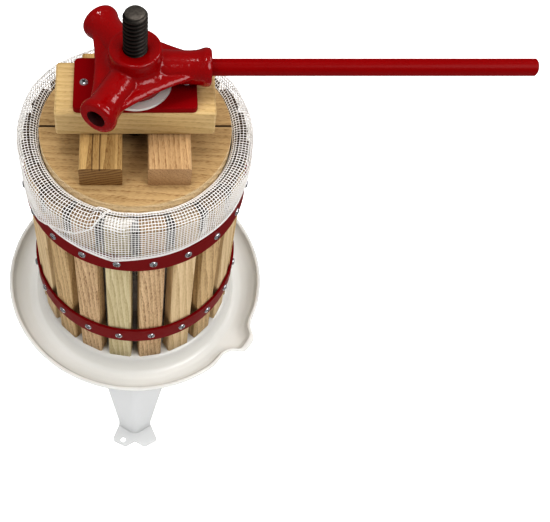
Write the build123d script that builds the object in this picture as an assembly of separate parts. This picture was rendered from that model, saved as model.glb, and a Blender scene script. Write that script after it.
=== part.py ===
"""Basket fruit press.

A coated steel tray on three folded legs carries a slatted oak basket, held by two steel hoops and
lined with a net bag. Half-moon boards, blocks and a cross block are driven down a fixed screw by a
cast nut with three handle sockets. Millimetres, Z up, floor at Z = 0, spindle on the Z axis, front -Y.
"""

import os
from math import cos, hypot, radians, sin

from build123d import *

os.makedirs("parts", exist_ok=True)

# clearances
SLIDE_GAP = 0.3
RUNNING_GAP = 0.08
STACK_BORE_GAP = 1.0
BAG_GAP = 0.4
SCREW_GAP = 0.1

# stand
PLATFORM_Z = 140.0
PLATFORM_MARGIN = 3.0
SHEET = 2.0
TROUGH_DEPTH = 24.0
TROUGH_STEP = 7.0
TROUGH_FLAT = 11.0
WALL_RUN = 22.0
WALL_TOE = 12.0
WALL_TOE_RISE = 5.0
RIM_BELOW_PLATFORM = 1.0
TRAY_FILLET = 5.0
RIM_BEAD_R = 2.5
SPOUT_ANGLE = -34.5
SPOUT_REACH = 13.0
SPOUT_TOP_HALF = 22.0
SPOUT_TIP_HALF = 12.5
SPOUT_FLOOR_HALF = 12.0
SPOUT_TIP_FLOOR_HALF = 6.5
SPOUT_INSET = 2.0
SPOUT_FLOOR_RISE = 3.0
SPOUT_TIP_DROP = 5.0

# legs
LEG_ANGLES = (-90.0, 30.0, 150.0)
LEG_SHEET = 2.5
LEG_FOOT_R = 176.0
LEG_FOLD = 32.0
LEG_WAIST_HALF = 21.5
LEG_TOP_HALF = 45.0
LEG_BEND_R = 8.0
LEG_WAIST_Z = 12.0
LEG_TOP_OUT = 9.0
FOOT_CORNER = (31.0, 7.0)
FOOT_LOBE = (13.0, 16.5)
FOOT_NOTCH = 9.0
FOOT_LOBE_R = 5.0
FOOT_HOLE_SIDE = 16.0
FOOT_HOLE_OUT = 6.5
FOOT_HOLE_R = 3.5

# spindle
SPINDLE_R = 12.0
SPINDLE_TOP_Z = 621.0
SPINDLE_TOP_CHAMFER = 3.2
SPINDLE_TAIL = 31.0
SPINDLE_NUT_EDGE = 1.5
SPINDLE_NUT_FLATS = 36.0
FOOT_NUT_H = 19.0
LOCK_NUT_H = 12.0
SPINDLE_WASHER_R = 30.0
SPINDLE_WASHER_H = 4.0

# basket
STAVE_COUNT = 20
STAVE_OUT = 122.0
STAVE_W = 28.0
STAVE_T = 17.0
STAVE_L = 297.0
STAVE_EDGE = 1.5
HOOP_FIT = 0.05
HOOP_T = 3.0
HOOP_H = 26.0
LOWER_HOOP_UP = 64.5
UPPER_HOOP_DOWN = 61.5
HOOP_SCREW_HEAD_R = 4.5
HOOP_SCREW_HEAD_H = 2.6
HOOP_SCREW_R = 2.0
HOOP_SCREW_L = 16.0
PILOT_SPARE = 0.5

# filter bag
BAG_T = 1.0
BAG_CUFF_GAP = 1.4
BAG_CUFF_L = 47.0
BAG_FLOOR_HOLE_R = 36.0

# press stack
BOARD_R = 103.0
BOARD_T = 20.0
BOARD_RISE = 17.0
BOARD_SEAM = 1.6
BOARD_EDGE = 1.5
BLOCK_W = 44.0
BLOCK_H = 28.0
BLOCK_L = 154.0
BLOCK_EDGE = 2.5
CROSS_L = 162.0
CROSS_W = 69.0
CROSS_H = 35.0
CROSS_EDGE = 4.0
CROSS_END = 2.0
PLATE_L = 124.0
PLATE_W = 67.0
PLATE_H = 6.5
PLATE_CORNER = 5.0
PLATE_EDGE = 1.5
PLATE_SCREW_X = 51.5
PLATE_SCREW_HEAD_R = 4.5
PLATE_SCREW_HEAD_H = 2.6
PLATE_SCREW_R = 2.5
PLATE_SCREW_L = 26.0
THRUST_R = 37.0
THRUST_H = 3.0

# press nut and handle
NUT_H = 48.5
NUT_HUB_R = 26.0
NUT_HUB_EDGE = 1.5
NUT_FOOT_R = 29.0
NUT_DISH = 1.5
NUT_DISH_RIM = 3.0
NUT_ROOT_R = 33.0
NUT_ROOT_H = 5.5
ARM_COUNT = 3
ARM_Z = 19.5
ARM_L = 75.0
ARM_ROOT_R = 16.5
ARM_NECK_R = 15.5
ARM_NECK_X = 52.0
COLLAR_R = 18.0
COLLAR_L = 9.0
COLLAR_EDGE = 2.5
WEB_Z = 19.0
WEB_H = 6.5
WEB_EDGE = 3.0
WEB_REACH = 67.0
WEB_HALF = 13.0
WEB_WAIST = 39.5
SOCKET_DEPTH = 45.0
HANDLE_R = 8.5
HANDLE_L = 365.0
HANDLE_END = 1.5

# levels and radii that follow
STAVE_TOP_Z = PLATFORM_Z + STAVE_L
STAVE_IN = STAVE_OUT - STAVE_T
STAVE_CORNER = hypot(STAVE_OUT, STAVE_W / 2 - STAVE_EDGE)
HOOP_IN = STAVE_CORNER + HOOP_FIT
HOOP_OUT = HOOP_IN + HOOP_T
LOWER_HOOP_Z = PLATFORM_Z + LOWER_HOOP_UP
UPPER_HOOP_Z = STAVE_TOP_Z - UPPER_HOOP_DOWN
BOARD_Z = STAVE_TOP_Z + BOARD_RISE - BOARD_T
BLOCK_Z = BOARD_Z + BOARD_T
CROSS_Z = BLOCK_Z + BLOCK_H
PLATE_Z = CROSS_Z + CROSS_H
THRUST_Z = PLATE_Z + PLATE_H
NUT_Z = THRUST_Z + THRUST_H
STACK_BORE_R = SPINDLE_R + STACK_BORE_GAP
PLATFORM_R = STAVE_CORNER + PLATFORM_MARGIN
TROUGH_Z = PLATFORM_Z - TROUGH_DEPTH
TROUGH_IN = PLATFORM_R + TROUGH_STEP
TROUGH_OUT = TROUGH_IN + TROUGH_FLAT
WALL_R = TROUGH_OUT + WALL_RUN
BEAD_Z = PLATFORM_Z - RIM_BELOW_PLATFORM - RIM_BEAD_R
TRAY_UNDER_Z = TROUGH_Z - SHEET
LEG_TOP_R = TROUGH_OUT + LEG_TOP_OUT


def turned(shape, degrees):
    return Rot(0, 0, degrees) * shape


def group(solids):
    return Compound(children=list(solids))


def ring(outer, inner, height, base):
    body = Cylinder(outer, height) - Cylinder(inner, 2 * height)
    return Pos(0, 0, base + height / 2) * body


def pan_screw(head_r, head_h, shank_r, shank_l):
    """A screw along X, with its head's underside at X = 0 and the shank towards -X."""
    head = Cylinder(head_r, head_h, align=(Align.CENTER, Align.CENTER, Align.MIN))
    head = chamfer(head.edges().group_by(Axis.Z)[-1], head_h * 0.35, head_r * 0.3)
    shank = Cylinder(shank_r, shank_l, align=(Align.CENTER, Align.CENTER, Align.MAX))
    return Rot(0, 90, 0) * (head + shank)


def tray_line():
    """The middle line of the pressed sheet, from the spindle hole to the rim."""
    mid = -SHEET / 2
    return FilletPolyline(
        (SPINDLE_R + SLIDE_GAP, PLATFORM_Z + mid),
        (PLATFORM_R, PLATFORM_Z + mid),
        (TROUGH_IN, TROUGH_Z + mid),
        (TROUGH_OUT, TROUGH_Z + mid),
        (TROUGH_OUT + WALL_TOE, TROUGH_Z + mid + WALL_TOE_RISE),
        (WALL_R, BEAD_Z),
        radius=TRAY_FILLET,
    )


def spout_section(x, half, low, high, floor_half):
    """A trapezoid across the spout at distance x, open side up."""
    corners = ((-half, high), (-floor_half, low), (floor_half, low), (half, high))
    return Plane(origin=(x, 0, 0), x_dir=(0, 1, 0), z_dir=(1, 0, 0)) * Polygon(*corners, align=None)


def spout_solid(wall):
    """The spout's loft, grown outwards by wall; wall 0 is the juice channel."""
    start, tip = TROUGH_OUT + SPOUT_INSET, WALL_R + RIM_BEAD_R + SPOUT_REACH
    floor = TROUGH_Z + SPOUT_FLOOR_RISE
    rim = BEAD_Z + RIM_BEAD_R
    over = 0 if wall else 3 * RIM_BEAD_R
    out = 0 if wall else SHEET
    first = spout_section(
        start, SPOUT_TOP_HALF + wall, floor - wall, rim + over, SPOUT_FLOOR_HALF + wall
    )
    last = spout_section(
        tip + out,
        SPOUT_TIP_HALF + wall,
        floor + SPOUT_TIP_DROP - wall,
        rim - SPOUT_TIP_DROP + over,
        SPOUT_TIP_FLOOR_HALF + wall,
    )
    return turned(loft([first, last], ruled=True), SPOUT_ANGLE)


def tray():
    sheet = Plane.XZ * trace(tray_line(), line_width=SHEET)
    dish = revolve(sheet, Axis.Z)
    bead = Plane.XZ * (Pos(WALL_R, BEAD_Z) * Circle(RIM_BEAD_R))
    dish += revolve(bead, Axis.Z)
    rim = BEAD_Z + 4 * RIM_BEAD_R
    hollow = Plane.XZ * Polygon(
        (0, TROUGH_Z),
        (TROUGH_OUT, TROUGH_Z),
        (TROUGH_OUT + WALL_TOE, TROUGH_Z + WALL_TOE_RISE),
        (WALL_R, BEAD_Z),
        (WALL_R, rim),
        (0, rim),
        align=None,
    )
    hollow = revolve(hollow, Axis.Z)
    channel = spout_solid(0)
    lip = spout_solid(SHEET) - channel - hollow
    return dish - channel + lip


def leg():
    """One leg along +X: two wings that meet in an outward ridge, a top tab and two foot flaps."""
    fold = radians(LEG_FOLD)
    top = TRAY_UNDER_Z

    def ridge(z):
        return LEG_FOOT_R + (LEG_TOP_R - LEG_FOOT_R) * z / top

    def wing_point(z, half, side):
        return Vector(ridge(z) - half * sin(fold) / cos(fold), side * half, z)

    body = None
    for side in (1, -1):
        points = [
            wing_point(0, 0, side),
            wing_point(0, LEG_WAIST_HALF, side),
            wing_point(LEG_WAIST_Z, LEG_WAIST_HALF, side),
            wing_point(top, LEG_TOP_HALF, side),
            wing_point(top, 0, side),
        ]
        face = Face(Wire.make_polygon(points, close=True))
        inward = Vector(-cos(fold), -side * sin(fold), 0)
        wing = extrude(face, amount=LEG_SHEET / cos(fold), dir=inward)
        body = wing if body is None else body + wing
    bend = body.edges().filter_by(lambda e: abs(e.center().Y) < LEG_SHEET / 4 and e.length > top / 2)
    outside = bend.sort_by(Axis.X)
    body = fillet(outside[-1], LEG_BEND_R + LEG_SHEET)
    bend = body.edges().filter_by(lambda e: abs(e.center().Y) < LEG_SHEET / 4 and e.length > top / 2)
    body = fillet(bend.sort_by(Axis.X)[0], LEG_BEND_R)
    inner = LEG_TOP_HALF * sin(fold) / cos(fold)
    tab = Polygon(
        (LEG_TOP_R, 0),
        (LEG_TOP_R - inner, LEG_TOP_HALF),
        (LEG_TOP_R - inner - LEG_SHEET, LEG_TOP_HALF),
        (LEG_TOP_R - inner - LEG_SHEET, -LEG_TOP_HALF),
        (LEG_TOP_R - inner, -LEG_TOP_HALF),
        align=None,
    )
    body += Pos(0, 0, top - LEG_SHEET) * extrude(tab, amount=LEG_SHEET, dir=(0, 0, 1))
    waist = LEG_WAIST_HALF * sin(fold) / cos(fold)
    flap = Polygon(
        (LEG_FOOT_R - waist - LEG_SHEET, LEG_WAIST_HALF),
        (LEG_FOOT_R + FOOT_CORNER[1], FOOT_CORNER[0]),
        (LEG_FOOT_R + FOOT_LOBE[1], FOOT_LOBE[0]),
        (LEG_FOOT_R + FOOT_NOTCH, 0),
        (LEG_FOOT_R + FOOT_LOBE[1], -FOOT_LOBE[0]),
        (LEG_FOOT_R + FOOT_CORNER[1], -FOOT_CORNER[0]),
        (LEG_FOOT_R - waist - LEG_SHEET, -LEG_WAIST_HALF),
        (LEG_FOOT_R - LEG_SHEET, 0),
        align=None,
    )
    lobes = flap.vertices().filter_by(lambda v: v.X > LEG_FOOT_R + 0.5 and abs(v.Y) > 1)
    flap = fillet(lobes, FOOT_LOBE_R)
    hole = Pos(LEG_FOOT_R + FOOT_HOLE_OUT, -FOOT_HOLE_SIDE) * Circle(FOOT_HOLE_R)
    return body + extrude(flap - hole, amount=LEG_SHEET, dir=(0, 0, 1))


def spindle():
    length = SPINDLE_TOP_Z - PLATFORM_Z + SPINDLE_TAIL
    rod = Pos(0, 0, SPINDLE_TOP_Z - length / 2) * Cylinder(SPINDLE_R, length)
    return chamfer(rod.edges().group_by(Axis.Z)[-1], SPINDLE_TOP_CHAMFER)


def spindle_nut(height, base):
    hexagon = RegularPolygon(SPINDLE_NUT_FLATS / 2, 6, major_radius=False)
    body = extrude(hexagon, amount=height)
    corner = SPINDLE_NUT_FLATS / 2 / cos(radians(30))
    cone = Pos(0, 0, height / 2) * Cylinder(corner, height)
    body &= chamfer(cone.edges().filter_by(GeomType.CIRCLE), SPINDLE_NUT_EDGE)
    return Pos(0, 0, base) * (body - Cylinder(SPINDLE_R + RUNNING_GAP, 4 * height))


def hoop_screw_place(k, z):
    angle = (k + 0.5) * 360 / STAVE_COUNT - 90
    return Rot(0, 0, angle) * Pos(HOOP_OUT, 0, z)


def stave(k):
    half, e = STAVE_W / 2, STAVE_EDGE
    section = Polygon(
        (STAVE_IN, -half + e),
        (STAVE_IN + e, -half),
        (STAVE_OUT - e, -half),
        (STAVE_OUT, -half + e),
        (STAVE_OUT, half - e),
        (STAVE_OUT - e, half),
        (STAVE_IN + e, half),
        (STAVE_IN, half - e),
        align=None,
    )
    body = Pos(0, 0, PLATFORM_Z) * extrude(section, amount=STAVE_L)
    reach = HOOP_SCREW_L + PILOT_SPARE
    for z in (LOWER_HOOP_Z, UPPER_HOOP_Z):
        pilot = Cylinder(HOOP_SCREW_R + SCREW_GAP, reach, rotation=(0, 90, 0))
        body -= Pos(HOOP_OUT - reach / 2, 0, z) * pilot
    return turned(body, (k + 0.5) * 360 / STAVE_COUNT - 90)


def hoop(z):
    band = ring(HOOP_OUT, HOOP_IN, HOOP_H, z - HOOP_H / 2)
    drill = Cylinder(HOOP_SCREW_R + SCREW_GAP, 4 * HOOP_T, rotation=(0, 90, 0))
    return band - [hoop_screw_place(k, z) * drill for k in range(STAVE_COUNT)]


def hoop_screws(z):
    one = pan_screw(HOOP_SCREW_HEAD_R, HOOP_SCREW_HEAD_H, HOOP_SCREW_R, HOOP_SCREW_L)
    return group(hoop_screw_place(k, z) * one for k in range(STAVE_COUNT))


def filter_bag():
    """The net as a thin shell: floor, lining, a fold over the stave tops and a hanging cuff."""
    lining = STAVE_IN - BAG_GAP
    cuff = STAVE_CORNER + BAG_CUFF_GAP
    top = STAVE_TOP_Z + BAG_GAP + BAG_T
    half = Plane.XZ * Polygon(
        (BAG_FLOOR_HOLE_R, PLATFORM_Z),
        (lining, PLATFORM_Z),
        (lining, top - BAG_T),
        (cuff, top - BAG_T),
        (cuff, top - BAG_CUFF_L),
        (cuff + BAG_T, top - BAG_CUFF_L),
        (cuff + BAG_T, top - BAG_T),
        (cuff, top),
        (lining, top),
        (lining - BAG_T, top - BAG_T),
        (lining - BAG_T, PLATFORM_Z + BAG_T),
        (BAG_FLOOR_HOLE_R, PLATFORM_Z + BAG_T),
        align=None,
    )
    return revolve(half, Axis.Z)


def pressing_board(side):
    board = Circle(BOARD_R) - Circle(STACK_BORE_R)
    board &= Pos(0, side * (BOARD_R + BOARD_SEAM / 2)) * Rectangle(3 * BOARD_R, 2 * BOARD_R)
    body = extrude(board, amount=BOARD_T)
    rim = body.edges().filter_by(lambda e: e.length > 2 * BOARD_R)
    return Pos(0, 0, BOARD_Z) * fillet(rim, BOARD_EDGE)


def pressure_block(side):
    bar = Box(BLOCK_W, BLOCK_L, BLOCK_H)
    bar = fillet(bar.edges().filter_by(Axis.Y), BLOCK_EDGE)
    return Pos(side * (STACK_BORE_R + BLOCK_W / 2), 0, BLOCK_Z + BLOCK_H / 2) * bar


def plate_screw_place(side):
    return Pos(side * PLATE_SCREW_X, 0, PLATE_Z + PLATE_H) * Rot(0, -90, 0)


def plate_screw_drill(side):
    deep = PLATE_SCREW_L + PILOT_SPARE
    hole = Cylinder(PLATE_SCREW_R + SCREW_GAP, deep, rotation=(0, 90, 0))
    return plate_screw_place(side) * Pos(-deep / 2, 0, 0) * hole


def cross_block():
    beam = Box(CROSS_L, CROSS_W, CROSS_H)
    beam = fillet(beam.edges().filter_by(Axis.X), CROSS_EDGE)
    ends = beam.edges().group_by(Axis.X)
    beam = chamfer(ends[0] + ends[-1], CROSS_END)
    beam = Pos(0, 0, CROSS_Z + CROSS_H / 2) * (beam - Cylinder(STACK_BORE_R, 2 * CROSS_H))
    return beam - [plate_screw_drill(side) for side in (-1, 1)]


def plate_rim(body):
    """The outer edges of the plate's top face."""
    top = body.edges().group_by(Axis.Z)[-1]
    return top.filter_by(lambda e: hypot(e.center().X, e.center().Y) > 2 * STACK_BORE_R)


def pressure_plate():
    face = RectangleRounded(PLATE_L, PLATE_W, PLATE_CORNER) - Circle(STACK_BORE_R)
    body = extrude(face, amount=PLATE_H)
    body = Pos(0, 0, PLATE_Z) * fillet(plate_rim(body), PLATE_EDGE)
    return body - [plate_screw_drill(side) for side in (-1, 1)]


def plate_screws():
    one = pan_screw(PLATE_SCREW_HEAD_R, PLATE_SCREW_HEAD_H, PLATE_SCREW_R, PLATE_SCREW_L)
    return group(plate_screw_place(side) * one for side in (-1, 1))


def web_face(reach, half, waist):
    """A plan outline with one end per arm and a hollow curve between neighbouring arms."""
    step = 360 / ARM_COUNT
    edges = []
    for k in range(ARM_COUNT):
        here, there = Rot(0, 0, k * step), Rot(0, 0, (k + 1) * step)
        first = (here * Pos(reach, -half, 0)).position
        second = (here * Pos(reach, half, 0)).position
        third = (there * Pos(reach, -half, 0)).position
        middle = (Rot(0, 0, (k + 0.5) * step) * Pos(waist, 0, 0)).position
        edges += [Line(first, second), ThreePointArc(second, middle, third)]
    return make_face(edges)


def socket_arm():
    """One arm along +X, turned round its own axis: a tapering neck that flares into a collar."""
    start = (SPINDLE_R, 0)
    root = (SPINDLE_R, ARM_ROOT_R)
    neck = (ARM_NECK_X, ARM_NECK_R)
    collar = (ARM_L - COLLAR_L, COLLAR_R)
    edge = (ARM_L - COLLAR_EDGE, COLLAR_R)
    mouth = (ARM_L, COLLAR_R - COLLAR_EDGE)
    profile = [
        Line(start, root),
        Line(root, neck),
        Spline(neck, collar, tangents=[(1, 0), (1, 0.35)]),
        Polyline(collar, edge, mouth, (ARM_L, 0), start),
    ]
    return Pos(0, 0, ARM_Z) * revolve(make_face(profile), Axis.X)


def nut_core():
    """The turned middle of the casting: foot boss, root cone and hub with a broken top edge."""
    shoulder = WEB_Z + WEB_H
    outline = Polyline(
        (0, 0),
        (NUT_FOOT_R, 0),
        (NUT_FOOT_R, WEB_Z + WEB_H / 2),
        (NUT_ROOT_R, WEB_Z + WEB_H / 2),
        (NUT_ROOT_R, shoulder),
        (NUT_HUB_R, shoulder + NUT_ROOT_H),
        (NUT_HUB_R, NUT_H - NUT_HUB_EDGE),
        (NUT_HUB_R - NUT_HUB_EDGE, NUT_H),
        (0, NUT_H),
        close=True,
    )
    return revolve(Plane.XZ * make_face(outline), Axis.Z)


def nut_throat():
    """The spindle's bore, opening into a shallow dish in the hub's top."""
    bore_r = SPINDLE_R + SLIDE_GAP
    dish_r = NUT_HUB_R - NUT_DISH_RIM
    outline = Polyline(
        (0, -NUT_H),
        (bore_r, -NUT_H),
        (bore_r, NUT_H - NUT_DISH),
        (dish_r, NUT_H),
        (dish_r, 2 * NUT_H),
        (0, 2 * NUT_H),
        close=True,
    )
    return revolve(Plane.XZ * make_face(outline), Axis.Z)


def press_nut():
    """The casting: turned core, webbed plate and three socket arms, then its bores."""
    web = extrude(web_face(WEB_REACH, WEB_HALF, WEB_WAIST), amount=WEB_H)
    hollows = web.edges().group_by(Axis.Z)[-1].filter_by(GeomType.CIRCLE)
    web = fillet(hollows, WEB_EDGE)
    body = nut_core() + Pos(0, 0, WEB_Z) * web
    step = 360 / ARM_COUNT
    arm = socket_arm()
    for k in range(ARM_COUNT):
        body += turned(arm, k * step)
    body -= nut_throat()
    bore = Cylinder(HANDLE_R + RUNNING_GAP, 2 * SOCKET_DEPTH, rotation=(0, 90, 0))
    for k in range(ARM_COUNT):
        body -= Rot(0, 0, k * step) * Pos(ARM_L, 0, ARM_Z) * bore
    return Pos(0, 0, NUT_Z) * body


def handle_bar():
    bar = Cylinder(HANDLE_R, HANDLE_L)
    bar = chamfer(bar.edges().filter_by(GeomType.CIRCLE), HANDLE_END)
    start = ARM_L - SOCKET_DEPTH
    return Pos(start + HANDLE_L / 2, 0, NUT_Z + ARM_Z) * Rot(0, 90, 0) * bar


def spindle_washer(base):
    return ring(SPINDLE_WASHER_R, SPINDLE_R + SLIDE_GAP, SPINDLE_WASHER_H, base)


PLATFORM_UNDER = PLATFORM_Z - SHEET
LOW_WASHER_Z = PLATFORM_UNDER - SPINDLE_WASHER_H
PARTS = {
    "tray": tray(),
    "leg_front": turned(leg(), LEG_ANGLES[0]),
    "leg_right": turned(leg(), LEG_ANGLES[1]),
    "leg_left": turned(leg(), LEG_ANGLES[2]),
    "spindle": spindle(),
    "spindle_foot_nut": spindle_nut(FOOT_NUT_H, LOW_WASHER_Z - FOOT_NUT_H),
    "spindle_lock_nut": spindle_nut(LOCK_NUT_H, PLATFORM_Z + SPINDLE_WASHER_H),
    "spindle_lower_washer": spindle_washer(LOW_WASHER_Z),
    "spindle_upper_washer": spindle_washer(PLATFORM_Z),
    "lower_hoop": hoop(LOWER_HOOP_Z),
    "upper_hoop": hoop(UPPER_HOOP_Z),
    "lower_hoop_screws": hoop_screws(LOWER_HOOP_Z),
    "upper_hoop_screws": hoop_screws(UPPER_HOOP_Z),
    "filter_bag": filter_bag(),
    "front_board": pressing_board(-1),
    "rear_board": pressing_board(1),
    "left_block": pressure_block(-1),
    "right_block": pressure_block(1),
    "cross_block": cross_block(),
    "pressure_plate": pressure_plate(),
    "plate_screws": plate_screws(),
    "thrust_washer": ring(THRUST_R, STACK_BORE_R, THRUST_H, THRUST_Z),
    "press_nut": press_nut(),
    "handle_bar": handle_bar(),
}
for index in range(STAVE_COUNT):
    PARTS[f"stave_{index + 1:02d}"] = stave(index)

for name, shape in PARTS.items():
    export_step(shape, f"parts/{name}.step")
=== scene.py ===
"""Household basket press for fruit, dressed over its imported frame."""

import math

import bmesh
import bpy
from mathutils import Matrix, Vector, noise


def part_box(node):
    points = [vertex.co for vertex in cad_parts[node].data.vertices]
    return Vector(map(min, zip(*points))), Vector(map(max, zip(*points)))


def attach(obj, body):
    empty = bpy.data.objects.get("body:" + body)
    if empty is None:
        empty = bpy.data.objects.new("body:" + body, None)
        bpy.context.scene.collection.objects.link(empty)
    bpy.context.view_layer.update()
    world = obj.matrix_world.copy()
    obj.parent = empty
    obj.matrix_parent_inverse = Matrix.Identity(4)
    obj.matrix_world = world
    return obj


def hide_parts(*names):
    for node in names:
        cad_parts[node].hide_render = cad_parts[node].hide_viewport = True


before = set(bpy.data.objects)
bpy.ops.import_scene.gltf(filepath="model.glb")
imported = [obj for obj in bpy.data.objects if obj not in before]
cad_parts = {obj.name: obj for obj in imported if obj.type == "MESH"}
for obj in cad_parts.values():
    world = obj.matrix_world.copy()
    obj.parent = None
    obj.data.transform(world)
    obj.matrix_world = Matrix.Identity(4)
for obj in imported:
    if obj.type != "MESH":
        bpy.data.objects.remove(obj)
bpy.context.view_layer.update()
scene = bpy.context.scene


# Tray: one pressed dish of sheet steel, powder coated ivory. A raised platform carries the basket,
# a trough round it collects the juice, the rim is rolled into a bead, and a beak is drawn out of the
# wall at the right front.

FLOAT, COLOUR = "NodeSocketFloat", "NodeSocketColor"


def shader_group(name, inputs, outputs):
    """An empty shader node group with its named sockets, as its tree, what comes in and what goes out."""
    tree = bpy.data.node_groups.new(name, "ShaderNodeTree")
    for label, kind, value in inputs:
        socket = tree.interface.new_socket(label, in_out="INPUT", socket_type=kind)
        if value is not None:
            socket.default_value = value
    for label, kind in outputs:
        tree.interface.new_socket(label, in_out="OUTPUT", socket_type=kind)
    return tree, tree.nodes.new("NodeGroupInput").outputs, tree.nodes.new("NodeGroupOutput").inputs


def node(tree, kind, settings=None, **links):
    """A shader node with its settings; its inputs, by name or as i0, i1, take a value or a link."""
    made = tree.nodes.new("ShaderNode" + kind)
    for key, value in (settings or {}).items():
        setattr(made, key, value)
    for key, value in links.items():
        numbered = key[0] == "i" and key[1:].isdigit()
        socket = made.inputs[int(key[1:]) if numbered else key.replace("_", " ")]
        if isinstance(value, bpy.types.NodeSocket):
            tree.links.new(value, socket)
        else:
            socket.default_value = value
    return made


def press_place(tree):
    """Where each point lies in the press's own frame."""
    return node(tree, "TexCoord").outputs["Object"]


def reckoned(tree, operation, *terms, **settings):
    """Numbers added, multiplied or otherwise worked out."""
    links = {f"i{k}": term for k, term in enumerate(terms)}
    return node(tree, "Math", {"operation": operation, **settings}, **links).outputs[0]


def spread(tree, value, from_low, from_high, to_low=0.0, to_high=1.0):
    """A value carried from one range to another and held at its ends."""
    made = node(tree, "MapRange", Value=value, i1=from_low, i2=from_high, i3=to_low, i4=to_high)
    return made.outputs[0]


def blended(tree, share, first, second, blend="MIX"):
    """Two colours mixed by a share."""
    settings = {"data_type": "RGBA", "blend_type": blend}
    return node(tree, "Mix", settings, i0=share, i6=first, i7=second).outputs[2]


def mottle(tree, place, scale, detail, roughness=0.5):
    """Soft random patches of one size."""
    return node(tree, "TexNoise", Vector=place, Scale=scale, Detail=detail, Roughness=roughness).outputs[0]


def deliver(tree, out, color, roughness, height):
    """Joins what a group has worked out to its three outputs."""
    for label, made in (("Color", color), ("Roughness", roughness), ("Height", height)):
        tree.links.new(made, out[label])


def finish_of(name, **sockets):
    """A material with one Principled shader, its plain sockets set; returns it, its tree and its shader."""
    material = bpy.data.materials.new(name)
    material.use_nodes = True
    tree = material.node_tree
    shader = tree.nodes["Principled BSDF"]
    for key, value in sockets.items():
        shader.inputs[key.replace("_", " ")].default_value = value
    return material, tree, shader


def feed(tree, shader, color, roughness, height=None, strength=0.0, depth=0.0):
    """Joins a finish's colour, roughness and fine relief to its shader."""
    tree.links.new(color, shader.inputs["Base Color"])
    tree.links.new(roughness, shader.inputs["Roughness"])
    if height is not None:
        relief = node(tree, "Bump", Strength=strength, Distance=depth, Height=height)
        tree.links.new(relief.outputs[0], shader.inputs["Normal"])


coat_film, film_in, film_out = shader_group(
    "coat film",
    [("Tone", COLOUR, None), ("Deep tone", COLOUR, None), ("Drift size", FLOAT, 9.0),
     ("Peel size", FLOAT, 420.0), ("Gloss low", FLOAT, 0.2), ("Gloss high", FLOAT, 0.35)],
    [("Color", COLOUR), ("Roughness", FLOAT), ("Height", FLOAT)],
)
place = press_place(coat_film)
drift = mottle(coat_film, place, film_in["Drift size"], 3.0)
peel = mottle(coat_film, place, film_in["Peel size"], 2.0)
wear = mottle(coat_film, place, 63.0, 5.0, 0.65)
deliver(
    coat_film, film_out,
    color=blended(coat_film, drift, film_in["Tone"], film_in["Deep tone"]),
    roughness=spread(coat_film, wear, 0.3, 0.75, film_in["Gloss low"], film_in["Gloss high"]),
    height=reckoned(coat_film, "MULTIPLY_ADD", drift, 2.5, peel),
)


def coated(name, tone, deep_tone, drift, peel, gloss, depth, **sockets):
    """A painted or powder coated finish from the coat film."""
    material, tree, shader = finish_of(name, **sockets)
    film = node(tree, "Group", {"node_tree": coat_film}, Tone=(*tone, 1), Deep_tone=(*deep_tone, 1),
                Drift_size=drift, Peel_size=peel, Gloss_low=gloss[0], Gloss_high=gloss[1]).outputs
    feed(tree, shader, film["Color"], film["Roughness"], film["Height"], 0.25, depth)
    return material


ivory_coat = coated("ivory powder coat", (0.86, 0.855, 0.825), (0.845, 0.838, 0.805),
                    drift=7.0, peel=900.0, gloss=(0.09, 0.15), depth=0.0001, Specular_IOR_Level=0.5)


def rounded_path(corners, steps):
    """Points along a chain of (x, y, bend) corners, each corner turned by an arc."""
    points = []
    for i, (x, y, bend) in enumerate(corners):
        here = Vector((x, y))
        if i in (0, len(corners) - 1):
            points.append(here)
            continue
        back = (Vector(corners[i - 1][:2]) - here).normalized()
        ahead = (Vector(corners[i + 1][:2]) - here).normalized()
        half = back.angle(ahead) / 2
        reach = bend / math.tan(half)
        centre = here + (back + ahead).normalized() * bend / math.sin(half)
        first, last = here + back * reach - centre, here + ahead * reach - centre
        turn = first.angle_signed(last)
        for k in range(steps + 1):
            points.append(centre + Matrix.Rotation(-turn * k / steps, 2) @ first)
    return points


def shown(name, mesh):
    """An object for a mesh, lamp or lens, linked into the scene."""
    made = bpy.data.objects.new(name, mesh)
    scene.collection.objects.link(made)
    return made


def piece_from(name, verts, faces, material):
    """A smooth mesh piece with one material."""
    mesh = bpy.data.meshes.new(name)
    mesh.from_pydata(verts, [], faces)
    mesh.update()
    mesh.materials.append(material)
    mesh.polygons.foreach_set("use_smooth", [True] * len(mesh.polygons))
    return shown(name, mesh)


def lathe_faces(turns, rows, closed_rows):
    """Quads of a grid of turns by rows that closes round its turns."""
    faces = []
    for i in range(turns):
        j = (i + 1) % turns
        for k in range(rows if closed_rows else rows - 1):
            m = (k + 1) % rows
            faces.append((i * rows + k, j * rows + k, j * rows + m, i * rows + m))
    return faces


platform_z, trough_z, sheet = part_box("tray")[1].z, 0.115, 0.002
# radius, height and bend at each corner, from the spindle's hole over platform and trough to the rim
dish_corners = [(0.0125, platform_z - sheet / 2, 0), (0.1256, platform_z - sheet / 2, 0.006),
                (0.1326, trough_z, 0.007), (0.1436, trough_z, 0.012),
                (0.1560, 0.1195, 0.016), (0.1652, 0.1345, 0)]
middle = rounded_path(dish_corners, 6)
upper, lower = [], []
for i, p in enumerate(middle):
    along = (middle[min(i + 1, len(middle) - 1)] - middle[max(i - 1, 0)]).normalized()
    across = Vector((-along.y, along.x)) * sheet / 2
    upper.append(p + across)
    lower.append(p - across)
bead_middle, bead_r = Vector((0.1656, 0.1365)), 0.0025
bead_turns = [math.radians(200 - 28 * k) for k in range(10)]
bead = [bead_middle + bead_r * Vector((math.cos(a), math.sin(a))) for a in bead_turns]
section = upper + bead + lower[::-1]

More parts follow.
